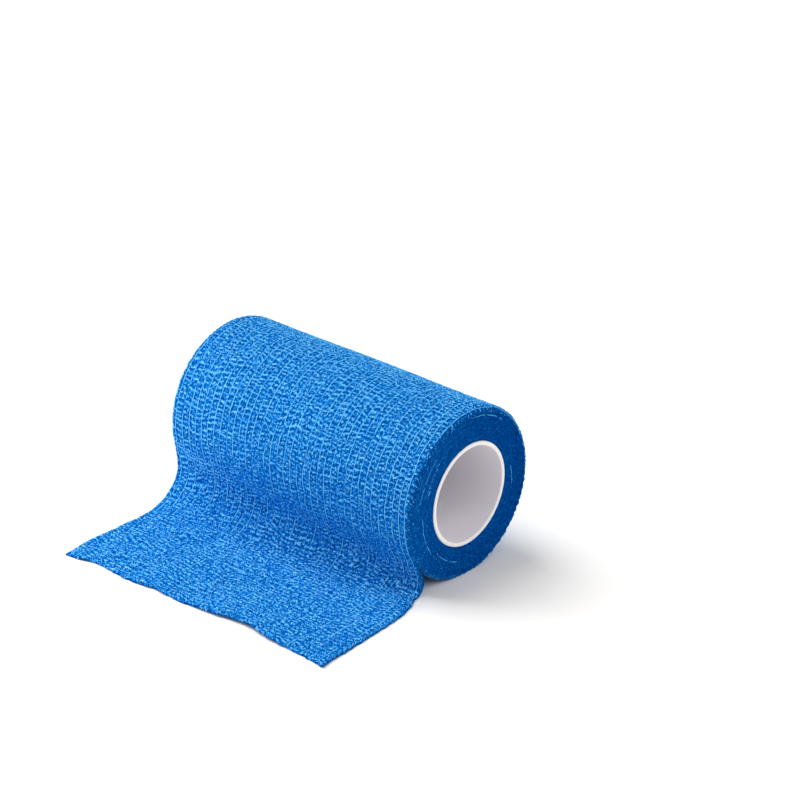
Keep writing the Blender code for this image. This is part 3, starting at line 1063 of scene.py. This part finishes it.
def ring_piece(name, front, back, tone, side):
    """Close a ring's fine face with a coarse back and walls at the tube and the rim."""
    close = ((0, 1), (0, 0))
    numbers = np.pad(number_points(front), close, "wrap")
    back_numbers = np.pad(number_points(back, front[..., 0].size), close, "wrap")
    face_sets = [
        grid_faces(numbers),
        grid_faces(back_numbers)[:, ::-1],
        wall_faces(numbers[:, 0], back_numbers[:, 0], RING_RATIO),
        wall_faces(numbers[::-1, -1], back_numbers[::-1, -1], RING_RATIO),
    ]
    if side < 0.0:
        face_sets = [faces[:, ::-1] for faces in face_sets]
    points = np.concatenate((front.reshape(-1, 3), back.reshape(-1, 3)))
    mesh = make_mesh(name, points, face_sets, (True, False, False, False))
    mark_points(mesh, "tone", np.concatenate((tone.ravel(), np.zeros(back[..., 0].size))))
    return add_piece(name, mesh, layer_material(), ("bandage",))


def thread_lines(cloth, threads):
    """Lay the threads' centre lines along the strip: points, sideways and outward.

    They lie evenly from selvedge to selvedge but for their wander, at the crests' height, and dive
    under the crinkle where slow noise is low, where the cloth is loose or untidy, or where shade is
    painted on it in the valley. The first one, at the near selvedge, shows near the outer turn's split
    only, and fades with e to the power of minus the fourth power of the length from there."""
    last = 2.0 * GIRTH_HALF - cloth.selvedge
    evenly = np.arange(cloth.selvedge, last - cloth.selvedge, cloth.thread_pitch)
    width = np.append(evenly, last)[None, :]
    thread = np.arange(width.size)[None, :]
    along = lengths_along(lay_strip(GIRTH_HALF - width))
    width = width + thread_wander(along, width, cloth)
    skin = lay_strip(GIRTH_HALF - width)
    forward = unit(np.gradient(skin, axis=0))
    outward = unit(np.cross(forward, (1.0, 0.0, 0.0)))
    lateral = np.cross(outward, forward)
    loose = loosened()
    shows = THREAD_SHOWS - LOOSE_HIDES * loose - UNTIDY_HIDES * untidy(along, width)
    shows = shows - SHADE_HIDES * painted_shade(along, width) + soft_noise(DIVES, along, thread)
    under = 1.0 - ease(shows / DIVE_EASE)
    shown = np.exp(-(along[:, 0] / SHOWN_HALF) ** 4)
    under[:, 0] = mix(HIDDEN_DIVE, SHOWN_DIVE * under[:, 0], shown)
    skin[:, 0, 0] -= HIDE * (1.0 - shown)
    level = cloth.crest_height * mix(WOUND_LEVEL, LOOSE_LEVEL, loose)
    level = level - mix(SINK_WOUND, SINK_LOOSE, loose) - threads.dive * under
    level += soft_noise(RIPPLE, along, thread)
    return skin + outward * level[..., None], lateral, outward


def thread_piece(name, rows, cloth, threads):
    """Make a stretch of all the elastic threads as one joined mesh of thin tubes."""
    lines = (array[rows].swapaxes(0, 1) for array in thread_lines(cloth, threads))
    return fibre_piece(name, *lines, threads.thickness, THREAD_SIDES)


def loop_piece(name, rows, count, seed, cloth, threads):
    """Make short teased loops of fibre that arch out of the crinkle.

    Each is an arc: along its own direction, bowed sideways and raised by the sine of the
    share of its length."""
    rng = np.random.default_rng(seed)
    points, _ = crinkled(rows, cloth)
    row = rng.integers(LOOP_ROWS, points.shape[0] - LOOP_ROWS, count)
    column = rng.integers(LOOP_COLUMNS, points.shape[1] - LOOP_COLUMNS, count)
    root = points[row, column][:, None]
    up = cloth_strip().outward[rows][row, column][:, None]
    along = unit(points[row + LOOP_ROWS, column] - points[row - LOOP_ROWS, column])[:, None]
    each = (count, 1, 1)
    turn = rng.uniform(0.0, math.tau, each)
    forward = unit(np.cos(turn) * along + np.sin(turn) * np.cross(up, along))
    length = rng.uniform(*LOOP_LENGTHS, each)
    bow = rng.uniform(*LOOP_BOWS, each)
    arch = rng.uniform(*LOOP_ARCHES, each)
    share = np.linspace(0.0, 1.0, LOOP_STEPS + 1)[None, :, None]
    swell = np.sin(math.pi * share)
    centres = root + forward * length * (share - 0.5) + np.cross(up, forward) * bow * swell
    centres += up * (arch * swell - LOOP_ROOT)
    travel = unit(np.gradient(centres, axis=1))
    lateral = unit(np.cross(up, travel))
    lift = np.cross(travel, lateral)
    thickness = threads.loop_thickness
    return fibre_piece(name, above_surface(centres), lateral, lift, thickness, LOOP_SIDES)


def tube_section(settings):
    """Draw the tube's wall as radius and x, once round: four edges rounded by quarter arcs.

    Each arc has its centre, and the angle that it starts at, in half turns."""
    edge = settings.edge_round
    end = 0.5 * CLOTH_WIDTH - edge
    low, high = TUBE_RADIUS - TUBE_WALL + edge, TUBE_RADIUS - edge
    arcs = []
    corners = ((high, end, 0.5), (high, -end, 0.0), (low, -end, 1.5), (low, end, 1.0))
    for radius, x, start in corners:
        turn = math.pi * (start - 0.5 * np.arange(EDGE_STEPS + 1) / EDGE_STEPS)
        arcs.append(np.stack((radius + edge * np.cos(turn), x + edge * np.sin(turn)), axis=-1))
    outside = np.linspace(arcs[0][-1], arcs[1][0], BORE_ROWS + 1)[1:-1]
    inside = np.linspace(arcs[2][-1], arcs[3][0], BORE_ROWS + 1)[1:-1]
    return np.concatenate((arcs[0], outside, arcs[1], arcs[2], inside, arcs[3]))


def tube_piece(settings):
    """Make the tube: its wall section turned round the roll's axis."""
    radius, x = tube_section(settings).T[:, None]
    turn = (math.tau * np.arange(TUBE_STEPS) / TUBE_STEPS)[:, None]
    points = round_points(x, radius, turn)
    numbers = np.pad(number_points(points), ((0, 1), (0, 1)), "wrap")
    mesh = make_mesh("tube", points.reshape(-1, 3), [grid_faces(numbers)[:, ::-1]], (True,))
    return add_piece("tube", mesh, tube_material(settings), ("core",))


# ------------------------------------------------------------------ stage

def make_floor(settings):
    """Make the pale floor."""
    half = 0.5 * settings.floor_size
    mesh = bpy.data.meshes.new("floor")
    corners = [(-half, -half, 0.0), (half, -half, 0.0), (half, half, 0.0), (-half, half, 0.0)]
    mesh.from_pydata(corners, [], [(0, 1, 2, 3)])
    material, _, _ = new_material("pale_floor", settings.floor_colour, 0.9)
    mesh.materials.append(material)
    floor = add_object("floor", mesh)


def add_lamp(name, kind, strength, place):
    """Add a light that shines from a place towards the roll."""
    light = bpy.data.lights.new(name, kind)
    light.energy = strength
    lamp = add_object(name, light)
    lamp.location = place
    lamp.rotation_euler = Vector(place).to_track_quat("Z", "Y").to_euler()
    return light


def make_light(settings):
    """Make the even sky, a broad main light from the left, a near light and a weak fill."""
    world = bpy.data.worlds.new("studio")
    world.use_nodes = True
    sky = world.node_tree.nodes["Background"]
    sky.inputs["Color"].default_value = (1.0, 1.0, 1.0, 1.0)
    sky.inputs["Strength"].default_value = settings.sky
    bpy.context.scene.world = world
    add_lamp("key", "SUN", settings.key, KEY_FROM).angle = settings.key_spread
    add_lamp("side", "AREA", settings.side, SIDE_PLACE).size = settings.side_size
    add_lamp("fill", "SUN", settings.fill, FILL_FROM).angle = settings.key_spread


def make_camera(settings):
    """Make the camera where the photograph was taken from."""
    data = bpy.data.cameras.new("camera")
    data.lens = settings.lens
    data.sensor_width = 36.0
    data.clip_start = 0.01
    camera = add_object("camera", data)
    aim = Matrix.Rotation(CAMERA_YAW, 4, "Z") @ Matrix.Rotation(0.5 * math.pi - CAMERA_PITCH, 4, "X")
    camera.matrix_world = Matrix.Translation(CAMERA_PLACE) @ aim @ Matrix.Rotation(CAMERA_ROLL, 4, "Z")
    bpy.context.scene.camera = camera


# ------------------------------------------------------------------ operators

class BANDAGE_OT_stage(bpy.types.Operator):
    """Make the floor, the light and the camera."""

    bl_idname = "bandage.stage"
    bl_label = "Set the stage"

    def execute(self, context):
        settings = context.scene.bandage_stage
        make_camera(settings)
        make_floor(settings)
        make_light(settings)
        context.scene.view_settings.view_transform = "Standard"
        return {"FINISHED"}


class BANDAGE_OT_outer_turn(bpy.types.Operator):
    """Wind the crinkled outer turn."""

    bl_idname = "bandage.outer_turn"
    bl_label = "Wind the outer turn"

    def execute(self, context):
        cloth = context.scene.bandage_cloth
        outer_turn_piece("outer_turn_back", slice(0, BACK_STEPS + 1), cloth)
        outer_turn_piece("outer_turn_front", slice(BACK_STEPS, WOUND_STEPS + 1), cloth)
        return {"FINISHED"}


class BANDAGE_OT_loose_end(bpy.types.Operator):
    """Lay the loose end out from the roll."""

    bl_idname = "bandage.loose_end"
    bl_label = "Lay the loose end"

    def execute(self, context):
        loose_end_piece(context.scene.bandage_cloth)
        return {"FINISHED"}


class BANDAGE_OT_layer_edges(bpy.types.Operator):
    """Make the wound layers' edges in both ends of the roll."""

    bl_idname = "bandage.layer_edges"
    bl_label = "Make the layer edges"

    def execute(self, context):
        layers = context.scene.bandage_layers
        layer_ring_piece("layer_edges_near", 1.0, layers)
        layer_ring_piece("layer_edges_far", -1.0, layers)
        end_thread_piece(context.scene.bandage_threads)
        return {"FINISHED"}


class BANDAGE_OT_threads(bpy.types.Operator):
    """Lay the elastic threads and tease out the loops of fibre."""

    bl_idname = "bandage.threads"
    bl_label = "Lay the threads"

    def execute(self, context):
        cloth, threads = context.scene.bandage_cloth, context.scene.bandage_threads
        wound = slice(0, WOUND_STEPS + 1, THREAD_RATIO)
        thread_piece("threads_on_roll", wound, cloth, threads)
        loose = slice(WOUND_STEPS, None, THREAD_RATIO)
        loose_threads = thread_piece("threads_on_loose_end", loose, cloth, threads)
        on_roll = round(threads.loops * WOUND_SHARE)
        wound = slice(0, WOUND_STEPS + 1)
        loop_piece("loops_on_roll", wound, on_roll, ROLL_LOOPS_SEED, cloth, threads)
        loose = slice(WOUND_STEPS, None)
        rest = threads.loops - on_roll
        loose_loops = loop_piece(
            "loops_on_loose_end", loose, rest, LOOSE_LOOPS_SEED, cloth, threads
        )
        along = cloth_strip().along
        return {"FINISHED"}


class BANDAGE_OT_tube(bpy.types.Operator):
    """Make the tube in the middle."""

    bl_idname = "bandage.tube"
    bl_label = "Make the tube"

    def execute(self, context):
        tube_piece(context.scene.bandage_tube)
        return {"FINISHED"}


class BANDAGE_PT_panel(bpy.types.Panel):
    """List the steps and their settings."""

    bl_idname = "BANDAGE_PT_panel"
    bl_label = "Bandage roll"
    bl_space_type = "VIEW_3D"
    bl_region_type = "UI"
    bl_category = "Bandage"

    def draw(self, context):
        for step in STEPS:
            self.layout.operator(step.bl_idname)
        for place, group in SETTINGS.items():
            box = self.layout.box()
            for name in group.__annotations__:
                box.prop(getattr(context.scene, place), name)


SETTINGS = {
    "bandage_cloth": ClothSettings,
    "bandage_threads": ThreadSettings,
    "bandage_layers": LayerSettings,
    "bandage_tube": TubeSettings,
    "bandage_stage": StageSettings,
}
STEPS = (
    BANDAGE_OT_stage,
    BANDAGE_OT_outer_turn,
    BANDAGE_OT_loose_end,
    BANDAGE_OT_layer_edges,
    BANDAGE_OT_threads,
    BANDAGE_OT_tube,
)
CLASSES = (*SETTINGS.values(), *STEPS, BANDAGE_PT_panel)


def register():
    """Register the classes and hang the settings on the scene."""
    for kind in CLASSES:
        bpy.utils.register_class(kind)
    for place, group in SETTINGS.items():
        setattr(bpy.types.Scene, place, bpy.props.PointerProperty(type=group))


def unregister():
    """Take the settings off the scene and unregister the classes."""
    for place in SETTINGS:
        delattr(bpy.types.Scene, place)
    for kind in reversed(CLASSES):
        bpy.utils.unregister_class(kind)


def main():
    """Run every step in order."""
    register()
    for step in STEPS:
        group, name = step.bl_idname.split(".")
        getattr(getattr(bpy.ops, group), name)()


if __name__ == "__main__":
    main()
